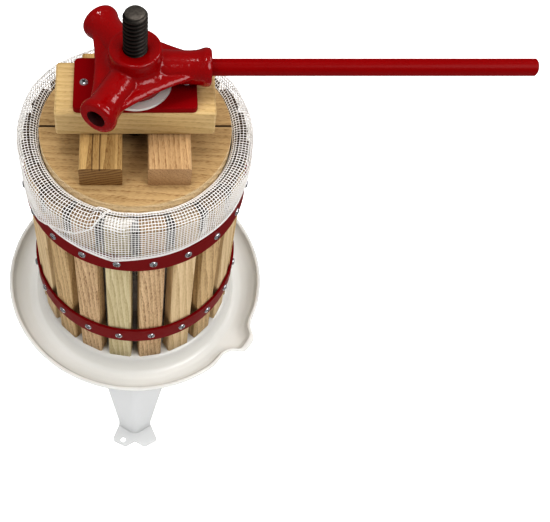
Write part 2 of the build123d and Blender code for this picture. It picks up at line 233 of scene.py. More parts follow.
beak_turn = math.radians(-34.5)
wall_foot_r, wall_run = 0.144, 0.022
lip_out, lip_drop, lip_half = 0.0132, 0.0055, 5.6
neck_in_right, neck_in_left, neck_at, neck_half = 0.0010, 0.0040, 11.5, 5.0


def drawn_beak(radius, z, angle):
    """Where the press tool draws the wall out into the pouring beak, between two pinched necks."""
    off = math.degrees((angle - beak_turn + math.pi) % (2 * math.pi) - math.pi)
    share = min(max((radius - wall_foot_r) / wall_run, 0), 1) ** 1.4
    lip = 1 / (1 + (abs(off) / lip_half) ** 6)
    neck = math.exp(-(((abs(off) - neck_at) / neck_half) ** 2))
    neck_in = neck_in_right if off > 0 else neck_in_left
    return radius + (lip_out * lip - neck_in * neck) * share, z - lip_drop * lip * share


verts, turns = [], 360
for i in range(turns):
    a = 2 * math.pi * i / turns
    for p in section:
        r, z = drawn_beak(p.x, p.y, a)
        verts.append((r * math.cos(a), r * math.sin(a), z))
tray = piece_from("pressed_tray", verts, lathe_faces(turns, len(section), True), ivory_coat)
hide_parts("tray")
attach(tray, "stand")


# Legs: three folded strips of the same coated sheet, welded under the trough by a tab. Each has a
# ridge down its outer side and two bent-out flaps for a foot.

def dress(names, material):
    """Puts one finish on CAD nodes that keep their own shape."""
    for name in names:
        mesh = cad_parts[name].data
        mesh.materials.clear()
        mesh.materials.append(material)


# The legs' coat is a greyer, darker copy of the tray's ivory, as painted shade.
leg_coat_with_shade = coated("leg powder coat with painted shade", (0.76, 0.765, 0.765), (0.69, 0.695, 0.695),
                  drift=11.0, peel=900.0, gloss=(0.3, 0.42), depth=0.0001, Specular_IOR_Level=0.3)
dress(["leg_front", "leg_left", "leg_right"], leg_coat_with_shade)


# Spindle: a rolled trapezoidal screw of blackened, oiled steel, fixed upright in the platform. Its
# crests and its chamfered top are rubbed a little brighter.

lead, crest_r, root_r = 0.005, 0.012, 0.0096
crest_half, flank = 0.13, 0.2
chamfer_h, chamfer_in = 0.0042, 0.0034
spindle_low, spindle_high = (corner.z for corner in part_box("spindle"))


def thread_radius(z, angle):
    """Radius of the screw at a height and angle: flat crests, sloping flanks and flat roots."""
    phase = (z / lead - angle / (2 * math.pi)) % 1.0
    down = min(max((abs(phase - 0.5) - crest_half) / flank, 0), 1)
    r = crest_r - (crest_r - root_r) * (down * down * (3 - 2 * down))
    over = max(z - (spindle_high - chamfer_h), 0) / chamfer_h
    return min(r, crest_r - chamfer_in * over)


def stacked_faces(rings, count):
    """Faces of a closed solid made of rings of points, one above the other."""
    faces = []
    for k in range(rings - 1):
        low, high = k * count, (k + 1) * count
        faces += [(low + i, low + (i + 1) % count, high + (i + 1) % count, high + i) for i in range(count)]
    return faces + [tuple(reversed(range(count))), tuple(range((rings - 1) * count, rings * count))]


def placed(tree, operation, *terms):
    """Coordinates added, multiplied or otherwise worked out."""
    links = {f"i{k}": term for k, term in enumerate(terms)}
    return node(tree, "VectorMath", {"operation": operation}, **links).outputs[0]


def measured(tree, operation, *terms):
    """A number measured from coordinates."""
    links = {f"i{k}": term for k, term in enumerate(terms)}
    return node(tree, "VectorMath", {"operation": operation}, **links).outputs["Value"]


def parts_of(tree, place):
    """The three numbers of a coordinate."""
    return node(tree, "SeparateXYZ", Vector=place).outputs


def from_axis(tree, place):
    """How far a point lies from the spindle's axis."""
    return measured(tree, "LENGTH", placed(tree, "MULTIPLY", place, (1, 1, 0)))


black_screw, tree, shader = finish_of("blackened screw", Metallic=0.75)
place = press_place(tree)
soot = mottle(tree, place, 240.0, 6.0, 0.7)
rubbed = spread(tree, from_axis(tree, place), 0.0105, 0.0121, 0.0, 0.36)
rubbed = reckoned(tree, "MULTIPLY", rubbed, soot)
crown = spread(tree, parts_of(tree, place)[2], spindle_high - 0.0045, spindle_high - 0.001, 0.0, 0.62)
crown = reckoned(tree, "MULTIPLY", crown, spread(tree, soot, 0.3, 0.7, 0.5, 1.3))
tint = node(tree, "ValToRGB", Fac=reckoned(tree, "MAXIMUM", rubbed, crown))
tint.color_ramp.elements[0].color = (0.006, 0.004, 0.003, 1)
tint.color_ramp.elements[1].color = (0.27, 0.235, 0.20, 1)
feed(tree, shader, tint.outputs[0], spread(tree, soot, 0.0, 1.0, 0.32, 0.6), soot, 0.35, 0.0002)

facets, step = 28, lead / 10
rows = int((spindle_high - spindle_low) / step) + 1
verts = []
for k in range(rows):
    z = min(spindle_low + k * step, spindle_high)
    for i in range(facets):
        a = 2 * math.pi * i / facets
        r = thread_radius(z, a)
        verts.append((r * math.cos(a), r * math.sin(a), z))
spindle = piece_from("threaded_spindle", verts, stacked_faces(rows, facets), black_screw)
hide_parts("spindle")
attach(spindle, "stand")


# Spindle fixings: hexagon nuts and wide washers of zinc plated steel. One pair above the platform and
# one pair below it clamp the spindle upright.

zinc_plate, tree, shader = finish_of("zinc plate", Metallic=1.0)
spangle = node(tree, "TexVoronoi", Vector=press_place(tree), Scale=260.0).outputs["Distance"]
feed(tree, shader, blended(tree, spangle, (0.42, 0.43, 0.44, 1), (0.62, 0.62, 0.6, 1)),
     spread(tree, spangle, 0.0, 1.0, 0.3, 0.48))
dress(["spindle_foot_nut", "spindle_lock_nut", "spindle_lower_washer", "spindle_upper_washer"], zinc_plate)


# Basket staves: twenty planed oak slats, standing on end round the platform and screwed to the hoops.
# Neighbours come from different boards, so their tone runs from greenish straw to rosy brown. Painted
# shade darkens their tops, less at the front, their sides above the upper hoop, and all faces there a little.

VECTOR = "NodeSocketVector"
oak_grain, oak_in, oak_out = shader_group(
    "oak grain",
    [("Vector", VECTOR, None), ("Light", COLOUR, None), ("Dark", COLOUR, None),
     ("Ring pitch", FLOAT, 180.0), ("Figure", FLOAT, 4.0), ("Pores", FLOAT, 0.6), ("End", FLOAT, 0.0),
     ("End stain", COLOUR, None), ("Ring lean", VECTOR, (1, 1, 1)), ("End rings", FLOAT, 0.8)],
    [("Color", COLOUR), ("Roughness", FLOAT), ("Height", FLOAT)],
)


def stretched(tree, place, share):
    """Coordinates shortened along the grain, so that what is drawn on them runs out long."""
    return placed(tree, "MULTIPLY", place, (1, 1, share))


along = stretched(oak_grain, oak_in["Vector"], 0.07)
drift = node(oak_grain, "TexNoise", Vector=along, Scale=22.0, Detail=2.0).outputs["Color"]
curved = placed(oak_grain, "ADD", along, placed(oak_grain, "MULTIPLY", drift, (0.012, 0.012, 0.012)))
curved = placed(oak_grain, "MULTIPLY", curved, oak_in["Ring lean"])
bands = {"wave_type": "BANDS", "bands_direction": "DIAGONAL", "wave_profile": "SAW"}
rings = node(oak_grain, "TexWave", bands, Vector=curved, Scale=oak_in["Ring pitch"],
             Distortion=oak_in["Figure"], Detail=2.0).outputs["Fac"]
fibre = mottle(oak_grain, stretched(oak_grain, oak_in["Vector"], 0.02), 640.0, 4.0, 0.62)
cloud = mottle(oak_grain, along, 55.0, 3.0)
pore = mottle(oak_grain, stretched(oak_grain, oak_in["Vector"], 0.17), 1200.0, 1.5)
early_wood = spread(oak_grain, rings, 0.3, 0.9, 0.35, 1.0)
pitted = reckoned(oak_grain, "MULTIPLY", spread(oak_grain, pore, 0.50, 0.60), early_wood)
pitted = reckoned(oak_grain, "MULTIPLY", pitted, oak_in["Pores"])
shade = reckoned(oak_grain, "MULTIPLY", rings, 0.34)
shade = reckoned(oak_grain, "MULTIPLY_ADD", fibre, 0.8, shade)
shade = reckoned(oak_grain, "MULTIPLY_ADD", cloud, 0.5, shade)
shade = spread(oak_grain, shade, 0.60, 1.02)
cut_rings = spread(oak_grain, rings, 0.0, 1.0, -1.0, 1.0)
cut_rings = reckoned(oak_grain, "MULTIPLY", cut_rings, oak_in["End rings"])
shade = reckoned(oak_grain, "MULTIPLY_ADD", oak_in["End"], cut_rings, shade, use_clamp=True)
wood = blended(oak_grain, shade, oak_in["Light"], oak_in["Dark"])
wood = blended(oak_grain, pitted, wood, (0.45, 0.31, 0.20, 1), "MULTIPLY")
deliver(
    oak_grain, oak_out,
    color=blended(oak_grain, oak_in["End"], wood, oak_in["End stain"], "MULTIPLY"),
    roughness=spread(oak_grain, fibre, 0.0, 1.0, 0.45, 0.65),
    height=reckoned(oak_grain, "MULTIPLY_ADD", pitted, -1.0, fibre),
)


def painted_shade_share(tree, facing, end, shade_from):
    """Painted shade on a stave: its ends, its front top less, its sides above a line, and a little all its
    faces there.
    """
    place = press_place(tree)
    outward = placed(tree, "NORMALIZE", placed(tree, "MULTIPLY", place, (1, 1, 0)))
    square_on = reckoned(tree, "ABSOLUTE", measured(tree, "DOT_PRODUCT", facing, outward))
    back, up = parts_of(tree, place)[1:]
    above = spread(tree, up, shade_from - 0.003, shade_from + 0.003)
    side = reckoned(tree, "MULTIPLY", spread(tree, square_on, 0.4, 0.8, 1.0, 0.0), above)
    lit_front = spread(tree, back, -0.118, -0.075, 0.3, 1.0)
    shaded = node(tree, "Mix", i0=end, i2=side, i3=lit_front).outputs[0]
    return reckoned(tree, "MAXIMUM", shaded, reckoned(tree, "MULTIPLY", above, 0.22))


# stain colours the end faces; on the staves it is the colour of their painted shade.
def oak_finish(name, light, dark, place_of, grain_axis, pitch, figure, pores, stain,
               shade_from=None, marks_and_light=None, lean=(1, 1, 1), end_rings=0.8):
    """Oak with its grain along one axis; place_of gives coordinates across, through and along it."""
    material, tree, shader = finish_of(name, Specular_IOR_Level=0.35)
    place = place_of(tree)
    if marks_and_light:
        light, dark = marks_and_light(tree, place, light, dark)
    facing = node(tree, "NewGeometry").outputs["Normal"]
    end = reckoned(tree, "ABSOLUTE", measured(tree, "DOT_PRODUCT", facing, grain_axis))
    end = reckoned(tree, "POWER", end, 6.0)
    # On the staves the end mask is swapped for their painted shade: ends, gap sides and faces above the hoop.
    if shade_from:
        end = painted_shade_share(tree, facing, end, shade_from)
    grain = node(tree, "Group", {"node_tree": oak_grain}, Vector=place, Light=light, Dark=dark,
                 Ring_pitch=pitch, Figure=figure, Pores=pores, End=end, End_stain=stain,
                 Ring_lean=lean, End_rings=end_rings).outputs
    feed(tree, shader, grain["Color"], grain["Roughness"], grain["Height"], 0.3, 0.0003)
    return material


stave_count, stave_pitch = 20, 18


def joined(tree, x, y, z):
    """Three numbers put together as a coordinate."""
    return node(tree, "CombineXYZ", X=x, Y=y, Z=z).outputs[0]


def stave_place(tree):
    """Coordinates that go round the basket with the slats: across, out from the middle, and up."""
    place = press_place(tree)
    x, y, up = parts_of(tree, place)
    turn = reckoned(tree, "ARCTAN2", y, x)
    slat = reckoned(tree, "FLOOR", reckoned(tree, "DIVIDE", turn, math.radians(stave_pitch)))
    across = reckoned(tree, "MULTIPLY_ADD", turn, 0.12, slat)
    return joined(tree, across, from_axis(tree, place), up)


# The painted shade's colour on the staves, and the top of the upper hoop, above which it is painted.
stave_shade_tone, shade_line = (0.11, 0.075, 0.05, 1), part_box("upper_hoop")[1].z


def stave_oak(name, light, dark, **figure):
    """One lot of stave oak, with its figure and painted shade at the top."""
    return oak_finish(name, light, dark, stave_place, (0, 0, 1), stain=stave_shade_tone, shade_from=shade_line, **figure)


straw = stave_oak("straw oak", (0.66, 0.57, 0.35, 1), (0.48, 0.39, 0.20, 1),
                  pitch=95.0, figure=3.0, pores=0.35)
rosy = stave_oak("rosy oak", (0.71, 0.51, 0.295, 1), (0.48, 0.31, 0.155, 1),
                 pitch=110.0, figure=3.0, pores=0.85)
golden = stave_oak("golden oak", (0.66, 0.47, 0.24, 1), (0.43, 0.28, 0.12, 1),
                   pitch=80.0, figure=4.0, pores=0.7)
pale = stave_oak("pale oak", (0.73, 0.56, 0.33, 1), (0.54, 0.38, 0.19, 1),
                 pitch=60.0, figure=4.0, pores=0.3)
lots = [rosy, pale, golden, pale, golden, straw, rosy, golden, pale, straw,
        golden, rosy, pale, golden, straw, pale, pale, golden, rosy, straw]
for k in range(stave_count):
    dress([f"stave_{k + 1:02d}"], lots[k])


# Hoops: two rolled bands of flat steel, coated wine red. A bright plated pan head screw goes through
# the band into each stave, and its cross recess is painted near black as painted shade.

wine_coat = coated("wine red coat", (0.205, 0.002, 0.004), (0.16, 0.001, 0.002),
                   drift=14.0, peel=700.0, gloss=(0.34, 0.48), depth=0.0002, Specular_IOR_Level=0.07)
dress(["lower_hoop", "upper_hoop"], wine_coat)
bright_zinc, tree, shader = finish_of("bright plated screw", Metallic=0.8)
haze = mottle(tree, press_place(tree), 900.0, 3.0)
feed(tree, shader, blended(tree, haze, (0.62, 0.63, 0.66, 1), (0.90, 0.90, 0.92, 1)),
     spread(tree, haze, 0.0, 1.0, 0.14, 0.28))
# The cross recess is painted near black, as painted shade.
cross_recess_shade = coated("painted shade in the cross", (0.03, 0.027, 0.025), (0.018, 0.016, 0.015),
                     drift=300.0, peel=900.0, gloss=(0.5, 0.7), depth=0.0001, Specular_IOR_Level=0.2)


def applied(obj):
    """The object's mesh with its modifiers worked in, and the object removed."""
    mesh = bpy.data.meshes.new_from_object(obj.evaluated_get(bpy.context.evaluated_depsgraph_get()))
    bpy.data.objects.remove(obj)
    return mesh


def pan_head(radius, height):
    """A pan head on a seat at z = 0: its points, its faces, and a 1 for each face in its cross recess."""
    outline = [(0.0, 1.0), (0.35, 0.98), (0.62, 0.9), (0.82, 0.74), (0.95, 0.48), (1.0, 0.2), (1.0, 0.0),
               (0.0, 0.0)]
    verts, turns = [], 20
    for i in range(turns):
        a = 2 * math.pi * i / turns
        verts += [(radius * r * math.cos(a), radius * r * math.sin(a), height * z) for r, z in outline]
    head = piece_from("head_blank", verts, lathe_faces(turns, len(outline), False), bright_zinc)
    cross, arm_l, arm_w, arm_up = bmesh.new(), radius * 1.15, radius * 0.26, height * 0.95
    for turn in (0, math.pi / 2):
        arm = bmesh.ops.create_cube(cross, size=1)["verts"]
        bmesh.ops.scale(cross, vec=(arm_l, arm_w, height), verts=arm)
        bmesh.ops.rotate(cross, cent=(0, 0, 0), matrix=Matrix.Rotation(turn, 3, "Z"), verts=arm)
        bmesh.ops.translate(cross, vec=(0, 0, arm_up), verts=arm)
    punch_mesh = bpy.data.meshes.new("cross_punch")
    cross.to_mesh(punch_mesh)
    cross.free()
    for finish in (bright_zinc, cross_recess_shade):
        punch_mesh.materials.append(finish)
    punch_mesh.polygons.foreach_set("material_index", [1] * len(punch_mesh.polygons))
    punch = shown("cross_punch", punch_mesh)
    head.modifiers.new("weld", "WELD").merge_threshold = 1e-6
    cut = head.modifiers.new("cross", "BOOLEAN")
    cut.object, cut.operation, cut.solver, cut.use_self = punch, "DIFFERENCE", "EXACT", True
    cut.material_mode = "TRANSFER"
    mesh = applied(head)
    bpy.data.objects.remove(punch)
    points = [tuple(v.co) for v in mesh.vertices]
    faces = [tuple(p.vertices) for p in mesh.polygons]
    recess = [p.material_index for p in mesh.polygons]
    bpy.data.meshes.remove(mesh)
    return points, faces, recess


def screw_set(name, places, radius, height, shank_r, shank_l):
    """Screws at several places in one piece: pan heads with their shanks."""
    points, head_faces, recess = pan_head(radius, height)
    sides = 8
    verts, faces, marks = [], [], []
    for place in places:
        base = len(verts)
        verts += [tuple(place @ Vector(p)) for p in points]
        faces += [tuple(base + v for v in f) for f in head_faces]
        base = len(verts)
        for z in (0.0, -shank_l):
            for k in range(sides):
                a = k * 2 * math.pi / sides
                verts.append(tuple(place @ Vector((shank_r * math.cos(a), shank_r * math.sin(a), z))))
        ring = [(base + k, base + (k + 1) % sides) for k in range(sides)]
        faces += [(first, last, last + sides, first + sides) for first, last in ring]
        faces += [tuple(range(base, base + sides)), tuple(range(base + 2 * sides - 1, base + sides - 1, -1))]
        marks += recess + [0] * (sides + 2)
    made = piece_from(name, verts, faces, bright_zinc)
    made.data.materials.append(cross_recess_shade)
    made.data.polygons.foreach_set("material_index", marks)
    made.data.set_sharp_from_angle(angle=math.radians(40))
    return made


head_r, head_h, head_turn = 0.0045, 0.0026, 1.7
hoop_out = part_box("upper_hoop")[1].x
for name in ("lower_hoop", "upper_hoop"):
    low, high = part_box(name)
    places = []
    for k in range(stave_count):
        a = math.radians((k + 0.5) * stave_pitch - 90)
        outward = Matrix.Rotation(a, 4, "Z") @ Matrix.Rotation(math.pi / 2, 4, "Y")
        seat = Matrix.Translation((hoop_out * math.cos(a), hoop_out * math.sin(a), (low.z + high.z) / 2))
        places.append(seat @ outward @ Matrix.Rotation(head_turn * k, 4, "Z"))
    screws = screw_set(f"{name}_pan_screws", places, head_r, head_h, shank_r=0.002, shank_l=0.016)
    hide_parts(f"{name}_screws")
    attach(screws, "basket")


# Filter bag: a sewn sack of open white net. It lines the basket, where juice stain and painted shade
# darken it, most at its top, is turned out over the stave tops and hangs down to the upper hoop. Its
# hem is a doubled band of the same net, and a loose fold of the cuff lies over itself at the left.

def net_finish(name, clean, soiled, shade_above=None):
    """Nylon yarn, clean or soiled by juice; above a line it takes its darkest tone, as painted shade."""
    material, tree, shader = finish_of(name, Specular_IOR_Level=0.2)
    place = press_place(tree)
    yarn = mottle(tree, place, 1400.0, 3.0)
    soil = reckoned(tree, "MULTIPLY", yarn, mottle(tree, place, 18.0, 3.0))
    if shade_above:
        shaded = spread(tree, parts_of(tree, place)[2], shade_above - 0.04, shade_above)
        soil = reckoned(tree, "MAXIMUM", soil, shaded)
    rough = spread(tree, yarn, 0.0, 1.0, 0.5, 0.75)
    feed(tree, shader, blended(tree, soil, clean, soiled), rough, yarn, 0.4, 0.0002)
    return material


net_white = net_finish("white net", (0.93, 0.915, 0.895, 1), (0.83, 0.80, 0.765, 1))
# The lining's dark tones are juice stain and painted shade, darkest above the upper hoop.
net_stain_and_shade = net_finish("stained and shaded net", (0.62, 0.56, 0.49, 1), (0.20, 0.175, 0.15, 1), shade_line)
cuff_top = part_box("stave_01")[1].z + 0.0014
cuff_r, mouth_r, lining_r, floor_r, floor_hole_r = 0.1254, 0.1044, 0.1041, 0.1032, 0.0375
net_columns, cuff_yarn, ring_yarn, hem_yarn, lining_yarn = 228, 0.00048, 0.00036, 0.00040, 0.00042
cuff_rings, mouth_rings, lining_rings, floor_rings = 12, 10, 89, 19
lining_turns, floor_turns, hem_turns = 120, 90, 480
yarn_sides, lining_sides = 4, 3
hem_z, hem_dip, hem_dip_at = 0.3955, 0.0135, -101
fold_at, fold_off, fold_mouth, fold_knee, fold_end = -102, 0.0046, 8, 17, 62


def wave_at(angle, freq, seed):
    """A smooth number from -1 to 1 that goes once round the basket."""
    return noise.noise(Vector((math.cos(angle) * freq, math.sin(angle) * freq, seed)))


def degrees_from(angle, middle):
    """How many degrees an angle is past a direction, from -180 to 180."""
    return (math.degrees(angle) - middle + 180) % 360 - 180


def near(angle, middle, width):
    """One at the middle direction, given in degrees, and fading to nothing either side of it."""
    return math.exp(-(degrees_from(angle, middle) / width) ** 2)


def hem_height(angle):
    """How low the turned-out bag hangs; it dips to a point at the front left."""
    off = degrees_from(angle, hem_dip_at)
    dip = math.exp(-abs(off) / (16 if off > 0 else 22))
    return hem_z - hem_dip * dip + 0.0012 * wave_at(angle, 2.5, 3.0)


def past_fold(angle):
    """How many degrees an angle lies beyond the front of the loose fold, going left."""
    return (fold_at - math.degrees(angle) + 180) % 360 - 180


def fold_line(angle):
    """The loose fold's edge, in the bag's own measure: it crosses the mouth and runs down to the hem."""
    off = past_fold(angle)
    if off < 0 or off > 110:
        return 3.0
    if off < fold_mouth:
        return 2 - off / fold_mouth
    if off < fold_knee:
        return 1 - 0.45 * (off - fold_mouth) / (fold_knee - fold_mouth)
    return max(0.55 - 0.55 * (off - fold_knee) / 20, -0.2)


def fold_out(angle, t):
    """How far the loose fold stands off the cuff below it."""
    off = past_fold(angle)
    fade = min(1, max(0, (fold_end - off) / 22)) if off >= 0 else 0
    return fold_off * fade / (1 + math.exp(-(t - fold_line(angle) - 0.05) / 0.02)) if fade else 0


def mouth_lift(angle):
    """How high the bag stands over the stave tops, higher where it is bunched up."""
    lift = 0.0072 + 0.0050 * near(angle, -88, 40) + 0.0115 * near(angle, 150, 32)
    lift += 0.007 * near(angle, 40, 38) + 0.003 * near(angle, 95, 45)
    return lift + 0.0016 * wave_at(angle, 5.0, 5.0) + 0.0008 * wave_at(angle, 14.0, 2.0)


def cuff_radius(angle, t):
    """How far out the cuff hangs, with its bellies, two pleats, slack hem, ripples and fold."""
    belly = 0.0006 + 0.0015 * near(angle, 158, 25) + 0.001 * near(angle, 25, 30)
    belly += 0.0022 * near(angle, -20, 7)
    pleat = 0.0024 * near(angle, -57, 2.6) * min(1, t / 0.5)
    pleat += 0.002 * near(angle, -96, 3.5) * max(0, t - 0.6) / 0.4
    slack = 0.0014 * max(0, 1 - t / 0.25) * min(1, max(0, (0.396 - hem_height(angle)) / 0.004))
    ripple = 0.0008 * (1 + wave_at(angle, 9.0, t * 2.5)) * t
    return cuff_r + belly * math.sin(math.pi * t / 2) ** 0.8 + pleat + slack + ripple + fold_out(angle, t)


def bag_point(angle, t):
    """The bag's surface by a measure t: 0 at the hem, 1 at the cuff's top, 2 inside the staves, 3 at
    the bag's foot and 4 at the spindle."""
    if t <= 1:
        foot = hem_height(angle)
        r, z = cuff_radius(angle, t), foot + (cuff_top - foot) * t
    elif t <= 2:
        over, edge = math.pi * (t - 1), cuff_radius(angle, 1)
        raised = fold_out(angle, t) - fold_out(angle, 1)
        r = (edge + mouth_r) / 2 + (edge - mouth_r) / 2 * math.cos(over) + raised * max(math.cos(over), 0)
        z = cuff_top + mouth_lift(angle) * math.sin(over) ** 0.7 + raised * math.sin(over)
    elif t <= 3:
        r = lining_r + 0.0002 * wave_at(angle, 8.0, t * 12)
        z = cuff_top + (platform_z + 0.003 - cuff_top) * (t - 2)
    else:
        r = floor_r + (floor_hole_r - floor_r) * (t - 3)
        z = platform_z + 0.0008 + 0.0022 * (4 - t) ** 8
    return Vector((r * math.cos(angle), r * math.sin(angle), z))


def strand(verts, faces, path, radius, sides, closed):
    """Adds one yarn of the net along a path of points."""
    base, count = len(verts), len(path)
    for i, p in enumerate(path):
        ahead = path[(i + 1) % count] if closed or i + 1 < count else p
        behind = path[i - 1] if closed or i > 0 else p
        along = (ahead - behind).normalized()
        side = along.cross(Vector((p.x, p.y, 0.02 if abs(along.z) < 0.9 else 0)).normalized())
        side = side.normalized() if side.length > 1e-6 else Vector((0, 0, 1))
        up = side.cross(along)
        for k in range(sides):
            a = 2 * math.pi * (k + 0.5) / sides
            verts.append(tuple(p + radius * (math.cos(a) * side + math.sin(a) * up)))
    for i in range(count if closed else count - 1):
        here, there = base + i * sides, base + (i + 1) % count * sides
        for k in range(sides):
            m = (k + 1) % sides
            faces.append((here + k, there + k, there + m, here + m))
    if not closed:
        last = base + (count - 1) * sides
        faces += [tuple(range(base, base + sides)), tuple(reversed(range(last, last + sides)))]


def ring_at(t, count, out=0.0):
    """A ring of points round the bag, stood off it by a little."""
    ring = [bag_point(2 * math.pi * i / count, t) for i in range(count)]
    return [p + out * Vector((p.x, p.y, 0)).normalized() for p in ring]


def line_up(angle, steps, out=0.0):
    """A line of points up the bag, stood off it by a little."""
    off = out * Vector((math.cos(angle), math.sin(angle), 0))
    return [bag_point(angle, t) + off for t in steps]


def slanted(angles, height_of, out):
    """A line of points along the bag whose height changes with the angle."""
    return [line_up(a, [height_of(a)], out)[0] for a in angles]


column_turns = [2 * math.pi * i / net_columns for i in range(net_columns)]
cuff_steps = [k / 20 for k in range(20)] + [1 + k / mouth_rings for k in range(mouth_rings)] + [2]
verts, faces = [], []
for a in column_turns:
    strand(verts, faces, line_up(a, cuff_steps), cuff_yarn, yarn_sides, False)
for k in range(cuff_rings):
    strand(verts, faces, ring_at(k / cuff_rings, net_columns), ring_yarn, yarn_sides, True)
for k in range(mouth_rings + 1):
    strand(verts, faces, ring_at(1 + k / mouth_rings, net_columns), cuff_yarn, yarn_sides, True)
net_bag = piece_from("net_bag", verts, faces, net_white)
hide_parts("filter_bag")
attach(net_bag, "basket")

lining_steps = [2, 2.02, 2.06, 2.15, 2.4, 2.7, 2.98, 3, 3.1, 4]
verts, faces = [], []
for a in column_turns:
    strand(verts, faces, line_up(a, lining_steps), lining_yarn, lining_sides, False)
for k in range(1, lining_rings):
    strand(verts, faces, ring_at(2 + k / lining_rings, lining_turns), lining_yarn, lining_sides, True)
for k in range(floor_rings + 1):
    strand(verts, faces, ring_at(3 + k / floor_rings, floor_turns), lining_yarn, lining_sides, True)
net_lining = piece_from("net_lining", verts, faces, net_stain_and_shade)
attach(net_lining, "basket")

hem_out, tuck_out, crease_out = 0.0006, 0.0007, 0.0005
tuck_at, tuck_pitch, crease_at, crease_pitch = -105, 1.5, -102.2, 0.75
verts, faces = [], []
for i in range(net_columns):
    turn = 2 * math.pi * (i + 0.5) / net_columns
    strand(verts, faces, line_up(turn, [0, 0.03, 0.06], hem_out), hem_yarn, yarn_sides, False)
for t in (0.002, 0.03, 0.06, 0.12):
    strand(verts, faces, ring_at(t, hem_turns, hem_out), hem_yarn, yarn_sides, True)
for i in range(10):
    turn = math.radians(tuck_at + tuck_pitch * (i + 1.5))
    tuck_steps = [0.98 + 0.03 * (i % 5), 1.1, 1.2, 1.3, 1.4, 1.5]
    strand(verts, faces, line_up(turn, tuck_steps, tuck_out), hem_yarn, yarn_sides, False)
for k in range(5):
    tuck_turns = [math.radians(tuck_at + tuck_pitch * j) for j in range(11 - k)]
    tuck = slanted(tuck_turns, lambda a: 1.46 - 0.09 * k, tuck_out)
    strand(verts, faces, tuck, hem_yarn, yarn_sides, False)
crease_turns = [math.radians(crease_at - crease_pitch * j) for j in range(46)]
for k in range(3):
    crease = slanted(crease_turns, lambda a: max(min(fold_line(a) + 0.03 * k, 1.95), 0), crease_out)
    strand(verts, faces, crease, hem_yarn, yarn_sides, False)
net_hem = piece_from("net_hem", verts, faces, net_white)
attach(net_hem, "basket")


# Press boards, blocks and cross block: planed oak. Two half-moon boards with sawn edges, painted
# lighter as painted light, lie round the spindle, juice has blackened the seam between them, two blocks
# stand on them front to back, the left one with fine checks in its top, and one eased beam bears on both.

def board_place(tree):
    """Coordinates in a board or beam, whose grain runs from left to right."""
    x, y, z = parts_of(tree, press_place(tree))
    return joined(tree, y, z, x)


def block_place(tree):
    """Coordinates in a block, whose grain runs from front to back."""
    x, y, z = parts_of(tree, press_place(tree))
    return joined(tree, x, z, y)


def board_lit_edge_and_seam(tree, place, light, dark):
    """The boards' sawn edges are painted lighter than their face, as painted light, and the seam between them
    is dark.
    """
    upright = parts_of(tree, node(tree, "NewGeometry").outputs["Normal"])[2]
    edge = spread(tree, reckoned(tree, "ABSOLUTE", upright), 0.3, 0.8, 1.0, 0.0)
    seam = spread(tree, reckoned(tree, "ABSOLUTE", parts_of(tree, place)[0]), 0.0010, 0.0014, 1.0, 0.0)
    # Painted light: the sawn edges are made lighter than the face.
    light = blended(tree, edge, light, (0.95, 0.76, 0.48, 1))
    dark = blended(tree, edge, dark, (0.76, 0.56, 0.31, 1))
    light = blended(tree, seam, light, (0.07, 0.035, 0.012, 1))
    dark = blended(tree, seam, dark, (0.05, 0.025, 0.008, 1))
    return light, dark


left_low, left_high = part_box("left_block")
check_depth, check_sway = 0.005, 0.003


def left_checks(tree, place, light, dark):
    """Two fine checks have opened along the top of the left block and hold dirt."""
    across, through = parts_of(tree, place)[:2]
    shallow = spread(tree, through, left_high.z - check_depth, left_high.z - 0.001, 0.0, 0.9)
    sway = mottle(tree, stretched(tree, place, 0.15), 120.0, 2.0)
    swayed = reckoned(tree, "MULTIPLY_ADD", sway, -check_sway, across)
    for share in (0.34, 0.52):
        line = left_low.x + (left_high.x - left_low.x) * share - check_sway
        off = reckoned(tree, "ABSOLUTE", reckoned(tree, "SUBTRACT", swayed, line))
        check = reckoned(tree, "MULTIPLY", spread(tree, off, 0.0004, 0.0010, 1.0, 0.0), shallow)
        light = blended(tree, check, light, (0.13, 0.065, 0.02, 1))
        dark = blended(tree, check, dark, (0.10, 0.05, 0.015, 1))
    return light, dark


left_to_right, front_to_back = (1, 0, 0), (0, 1, 0)
board_oak = oak_finish("board oak", (0.54, 0.37, 0.18, 1), (0.42, 0.275, 0.122, 1), board_place,
                       left_to_right, pitch=70.0, figure=5.0, pores=0.6, stain=(1.0, 0.97, 0.93, 1),
                       marks_and_light=board_lit_edge_and_seam)
beam_oak = oak_finish("beam oak", (0.67, 0.49, 0.245, 1), (0.56, 0.39, 0.165, 1), board_place,
                      left_to_right, pitch=95.0, figure=4.0, pores=0.35, stain=(0.85, 0.8, 0.75, 1))
# Its ends are darkened by end grain stain and by painted shade.
left_oak = oak_finish("left block oak", (0.58, 0.39, 0.165, 1), (0.36, 0.22, 0.08, 1), block_place,
                      front_to_back, pitch=140.0, figure=0.9, pores=0.6, stain=(0.56, 0.46, 0.36, 1),
                      marks_and_light=left_checks, lean=(-0.3, 1, 0.12), end_rings=1.0)
right_oak = oak_finish("right block oak", (0.58, 0.385, 0.20, 1), (0.40, 0.25, 0.118, 1), block_place,
                       front_to_back, pitch=110.0, figure=3.0, pores=0.6, stain=(0.98, 0.92, 0.90, 1),
                       end_rings=-0.36)
dress(["front_board", "rear_board"], board_oak)
dress(["cross_block"], beam_oak)
dress(["left_block"], left_oak)
dress(["right_block"], right_oak)


# Pressure plate: a red coated steel plate that spreads the nut's load, held by two screws, with a
# pale nylon thrust ring on it for the nut to turn on.

